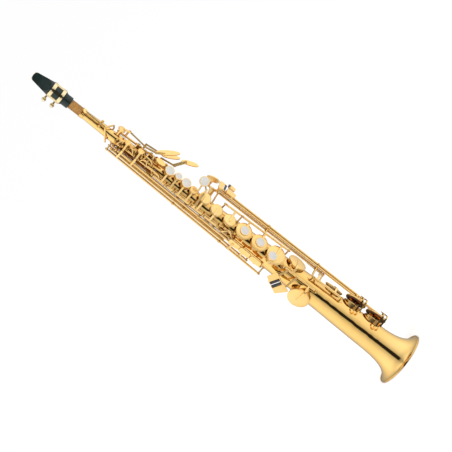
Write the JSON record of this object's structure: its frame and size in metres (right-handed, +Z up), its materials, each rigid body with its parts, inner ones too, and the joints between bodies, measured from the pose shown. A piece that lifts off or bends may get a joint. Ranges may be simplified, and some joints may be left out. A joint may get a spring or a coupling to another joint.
{
  "type": "soprano saxophone",
  "caption": "Straight conical brass soprano saxophone with open bell, sprung keywork on posts, octave mechanism, adjustable thumb hook and sliding beak mouthpiece.",
  "frame": {"origin": "centre of the bell's rim plane", "axes": "+Z up along the bore towards the mouthpiece, -Y towards the front of the stack, +X towards the left-hand palm keys"},
  "size_m": [0.095, 0.0876, 0.6995],
  "materials": {
    "lacquered_tube": "clear gold lacquer, polished",
    "lacquered_keys": "clear gold lacquer, polished",
    "lacquered_fittings": "clear gold lacquer",
    "gilt_ligature": "pale gold plate, polished",
    "steel_rod": "ground steel",
    "ebonite": "polished hard rubber",
    "cane": "sanded cane",
    "cork": "bare cork",
    "felt": "pressed felt",
    "pearl": "polished shell",
    "black_roller": "polished",
    "pad_leather": "smooth kid leather"
  },
  "bodies": {
    "body": {"body_tube": "lacquered_tube", "bell": "lacquered_tube", "neck_cork": "cork", "upper_posts": "lacquered_fittings", "lower_posts": "lacquered_fittings", "hinge_rods": "steel_rod", "key_guards": "lacquered_fittings", "guard_felts": "felt", "thumb_rest": "lacquered_fittings", "thumb_hook_plate": "lacquered_fittings", "strap_ring": "lacquered_fittings"},
    "mouthpiece_set": {"mouthpiece": "ebonite", "reed": "cane", "ligature": "gilt_ligature"},
    "ligature_screw_1": {"ligature_screw_1": "gilt_ligature"},
    "ligature_screw_2": {"ligature_screw_2": "gilt_ligature"},
    "thumb_hook": {"thumb_hook": "lacquered_fittings"},
    "thumb_hook_screw": {"thumb_hook_screw": "lacquered_fittings"},
    "b_key": {"b_key": "lacquered_keys", "b_pearl": "pearl"},
    "bis_key": {"bis_key": "lacquered_keys", "bis_pearl": "pearl"},
    "a_key": {"a_key": "lacquered_keys", "a_pearl": "pearl"},
    "g_key": {"g_key": "lacquered_keys", "g_pearl": "pearl"},
    "g_sharp_key": {"g_sharp_key": "lacquered_keys"},
    "f_sharp_key": {"f_sharp_key": "lacquered_keys"},
    "f_key": {"f_key": "lacquered_keys", "f_pearl": "pearl"},
    "e_key": {"e_key": "lacquered_keys", "e_pearl": "pearl"},
    "d_key": {"d_key": "lacquered_keys", "d_pearl": "pearl"},
    "eb_key": {"eb_key": "lacquered_keys", "eb_pad": "pad_leather"},
    "low_c_key": {"low_c_key": "lacquered_keys", "low_c_pad": "pad_leather"},
    "low_c_sharp_lever": {"low_c_sharp_lever": "lacquered_keys"},
    "low_c_sharp_key": {"low_c_sharp_key": "lacquered_keys", "low_c_sharp_pad": "pad_leather"},
    "low_b_key": {"low_b_key": "lacquered_keys", "low_b_pad": "pad_leather"},
    "low_b_flat_key": {"low_b_flat_key": "lacquered_keys", "low_b_flat_pad": "pad_leather"},
    "g_sharp_lever": {"g_sharp_lever": "lacquered_keys"},
    "palm_f_key": {"palm_f_key": "lacquered_keys"},
    "palm_eb_key": {"palm_eb_key": "lacquered_keys"},
    "palm_d_key": {"palm_d_key": "lacquered_keys"},
    "front_f_key": {"front_f_key": "lacquered_keys"},
    "side_e_key": {"side_e_key": "lacquered_keys"},
    "side_c_key": {"side_c_key": "lacquered_keys"},
    "side_bb_key": {"side_bb_key": "lacquered_keys"},
    "neck_octave_key": {"neck_octave_key": "lacquered_keys"},
    "thumb_octave_lever": {"thumb_octave_lever": "lacquered_keys"},
    "body_octave_key": {"body_octave_key": "lacquered_keys"},
    "eb_roller": {"eb_roller": "black_roller"},
    "low_c_roller": {"low_c_roller": "black_roller"},
    "low_c_sharp_roller": {"low_c_sharp_roller": "black_roller"},
    "low_b_roller": {"low_b_roller": "black_roller"}
  },
  "joints": [
    {"name": "mouthpiece_slide", "type": "slide", "parent": "body", "child": "mouthpiece_set", "axis": [0, 0, 1], "range_m": [-0.012, 0.015]},
    {"name": "ligature_screw_1_turn", "type": "hinge", "parent": "mouthpiece_set", "child": "ligature_screw_1", "pos_m": [-0.0185, 0.0146, 0.6648], "axis": [1, 0, 0], "continuous": true},
    {"name": "ligature_screw_2_turn", "type": "hinge", "parent": "mouthpiece_set", "child": "ligature_screw_2", "pos_m": [-0.0185, 0.0146, 0.65], "axis": [1, 0, 0], "continuous": true},
    {"name": "thumb_hook_slide", "type": "slide", "parent": "body", "child": "thumb_hook", "axis": [0, 0, 1], "range_m": [-0.002, 0.002]},
    {"name": "thumb_hook_screw_turn", "type": "hinge", "parent": "thumb_hook", "child": "thumb_hook_screw", "pos_m": [0, 0.0198, 0.295], "axis": [0, 1, 0], "continuous": true},
    {"name": "b_key_hinge", "type": "hinge", "parent": "body", "child": "b_key", "pos_m": [-0.00891, -0.01543, 0.46], "axis": [0.0143, 0.0248, 0.9996], "range_deg": [0, 8], "stiffness_Nm_per_rad": 0.02},
    {"name": "bis_key_hinge", "type": "hinge", "parent": "body", "child": "bis_key", "pos_m": [-0.0092, -0.01593, 0.44], "axis": [0.0143, 0.0248, 0.9996], "range_deg": [0, 8], "stiffness_Nm_per_rad": 0.02},
    {"name": "a_key_hinge", "type": "hinge", "parent": "body", "child": "a_key", "pos_m": [-0.00948, -0.01642, 0.42], "axis": [0.0143, 0.0248, 0.9996], "range_deg": [0, 8], "stiffness_Nm_per_rad": 0.02},
    {"name": "g_key_hinge", "type": "hinge", "parent": "body", "child": "g_key", "pos_m": [-0.00991, -0.01717, 0.39], "axis": [0.0143, 0.0248, 0.9996], "range_deg": [0, 8], "stiffness_Nm_per_rad": 0.02},
    {"name": "g_sharp_key_hinge", "type": "hinge", "parent": "body", "child": "g_sharp_key", "pos_m": [-0.01031, -0.01786, 0.362], "axis": [0.0143, 0.0248, 0.9996], "range_deg": [-8, 0], "stiffness_Nm_per_rad": 0.02},
    {"name": "f_sharp_key_hinge", "type": "hinge", "parent": "body", "child": "f_sharp_key", "pos_m": [0.02393, -0.01382, 0.344], "axis": [-0.0248, 0.0143, 0.9996], "range_deg": [-8, 0], "stiffness_Nm_per_rad": 0.02},
    {"name": "f_key_hinge", "type": "hinge", "parent": "body", "child": "f_key", "pos_m": [0.02473, -0.01428, 0.312], "axis": [-0.0248, 0.0143, 0.9996], "range_deg": [-8, 0], "stiffness_Nm_per_rad": 0.02},
    {"name": "e_key_hinge", "type": "hinge", "parent": "body", "child": "e_key", "pos_m": [0.0254, -0.01466, 0.285], "axis": [-0.0248, 0.0143, 0.9996], "range_deg": [-8, 0], "stiffness_Nm_per_rad": 0.02},
    {"name": "d_key_hinge", "type": "hinge", "parent": "body", "child": "d_key", "pos_m": [0.02609, -0.01506, 0.257], "axis": [-0.0248, 0.0143, 0.9996], "range_deg": [-8, 0], "stiffness_Nm_per_rad": 0.02},
    {"name": "eb_key_hinge", "type": "hinge", "parent": "body", "child": "eb_key", "pos_m": [0.00312, -0.02538, 0.224], "axis": [-0.0035, 0.0284, 0.9996], "range_deg": [-9, 0], "stiffness_Nm_per_rad": 0.02},
    {"name": "low_c_key_hinge", "type": "hinge", "parent": "body", "child": "low_c_key", "pos_m": [0.00321, -0.02617, 0.196], "axis": [-0.0035, 0.0284, 0.9996], "range_deg": [-11, 0], "stiffness_Nm_per_rad": 0.02},
    {"name": "low_c_sharp_lever_hinge", "type": "hinge", "parent": "body", "child": "low_c_sharp_lever", "pos_m": [0.0304, 0.024, 0.27], "axis": [0, 0, 1], "range_deg": [-6, 0], "stiffness_Nm_per_rad": 0.02},
    {"name": "low_c_sharp_key_hinge", "type": "hinge", "parent": "body", "child": "low_c_sharp_key", "pos_m": [0.01869, -0.02004, 0.16], "axis": [-0.0195, 0.0209, 0.9996], "range_deg": [-8, 0], "stiffness_Nm_per_rad": 0.02},
    {"name": "low_b_key_hinge", "type": "hinge", "parent": "body", "child": "low_b_key", "pos_m": [0.0374, 0.0237, 0.23], "axis": [0, 0, 1], "range_deg": [-11, 0], "stiffness_Nm_per_rad": 0.02},
    {"name": "low_b_flat_key_hinge", "type": "hinge", "parent": "body", "child": "low_b_flat_key", "pos_m": [0.034, 0.0215, 0.21], "axis": [0, 0, 1], "range_deg": [-11, 0], "stiffness_Nm_per_rad": 0.02},
    {"name": "g_sharp_lever_hinge", "type": "hinge", "parent": "body", "child": "g_sharp_lever", "pos_m": [0.0295, 0.014, 0.391], "axis": [0, 0, 1], "range_deg": [-8, 0], "stiffness_Nm_per_rad": 0.02},
    {"name": "palm_f_key_hinge", "type": "hinge", "parent": "body", "child": "palm_f_key", "pos_m": [0.01198, 0.01006, 0.536], "axis": [-0.0219, -0.0184, 0.9996], "range_deg": [0, 7], "stiffness_Nm_per_rad": 0.02},
    {"name": "palm_eb_key_hinge", "type": "hinge", "parent": "body", "child": "palm_eb_key", "pos_m": [0.01247, 0.01046, 0.514], "axis": [-0.0219, -0.0184, 0.9996], "range_deg": [0, 8], "stiffness_Nm_per_rad": 0.02},
    {"name": "palm_d_key_hinge", "type": "hinge", "parent": "body", "child": "palm_d_key", "pos_m": [0.01312, 0.01101, 0.484], "axis": [-0.0219, -0.0184, 0.9996], "range_deg": [0, 8], "stiffness_Nm_per_rad": 0.02},
    {"name": "front_f_key_hinge", "type": "hinge", "parent": "body", "child": "front_f_key", "pos_m": [0.01517, -0.00493, 0.473], "axis": [-0.0272, 0.0088, 0.9996], "range_deg": [-6, 0], "stiffness_Nm_per_rad": 0.02},
    {"name": "side_e_key_hinge", "type": "hinge", "parent": "body", "child": "side_e_key", "pos_m": [-0.02416, 0.00426, 0.4], "axis": [0.0282, -0.005, 0.9996], "range_deg": [-5, 0], "stiffness_Nm_per_rad": 0.02},
    {"name": "side_c_key_hinge", "type": "hinge", "parent": "body", "child": "side_c_key", "pos_m": [-0.02032, -0.00544, 0.4], "axis": [0.0276, 0.0074, 0.9996], "range_deg": [-6, 0], "stiffness_Nm_per_rad": 0.02},
    {"name": "side_bb_key_hinge", "type": "hinge", "parent": "body", "child": "side_bb_key", "pos_m": [-0.01589, -0.01197, 0.37], "axis": [0.0228, 0.0172, 0.9996], "range_deg": [0, 7], "stiffness_Nm_per_rad": 0.02},
    {"name": "neck_octave_hinge", "type": "hinge", "parent": "body", "child": "neck_octave_key", "pos_m": [0.004, -0.0132, 0.579], "axis": [1, 0, 0], "range_deg": [0, 6], "stiffness_Nm_per_rad": 0.02},
    {"name": "thumb_octave_hinge", "type": "hinge", "parent": "body", "child": "thumb_octave_lever", "pos_m": [0, 0.0155, 0.505], "axis": [1, 0, 0], "range_deg": [-3, 0], "stiffness_Nm_per_rad": 0.02},
    {"name": "body_octave_hinge", "type": "hinge", "parent": "body", "child": "body_octave_key", "pos_m": [-0.00737, 0.01276, 0.498], "axis": [-0.866, -0.5, 0], "range_deg": [0, 7], "stiffness_Nm_per_rad": 0.02},
    {"name": "eb_roller_spin", "type": "hinge", "parent": "eb_key", "child": "eb_roller", "pos_m": [-0.02232, -0.02655, 0.23159], "axis": [-0.8106, 0.378, 0.4472], "continuous": true},
    {"name": "low_c_roller_spin", "type": "hinge", "parent": "low_c_key", "child": "low_c_roller", "pos_m": [-0.02468, -0.02545, 0.22641], "axis": [-0.8106, 0.378, 0.4472], "continuous": true},
    {"name": "low_c_sharp_roller_spin", "type": "hinge", "parent": "low_c_sharp_lever", "child": "low_c_sharp_roller", "pos_m": [0.0419, 0.00183, 0.3724], "axis": [0.5592, 0.829, 0], "continuous": true},
    {"name": "low_b_roller_spin", "type": "hinge", "parent": "low_b_key", "child": "low_b_roller", "pos_m": [0.04797, 0.01083, 0.3676], "axis": [0.5592, 0.829, 0], "continuous": true}
  ],
  "couplings": [
    {"joint": "neck_octave_hinge", "follows": "thumb_octave_hinge", "ratio": -2},
    {"joint": "g_sharp_key_hinge", "follows": "g_sharp_lever_hinge", "ratio": 1},
    {"joint": "low_c_sharp_key_hinge", "follows": "low_c_sharp_lever_hinge", "ratio": 1.3333}
  ]
}
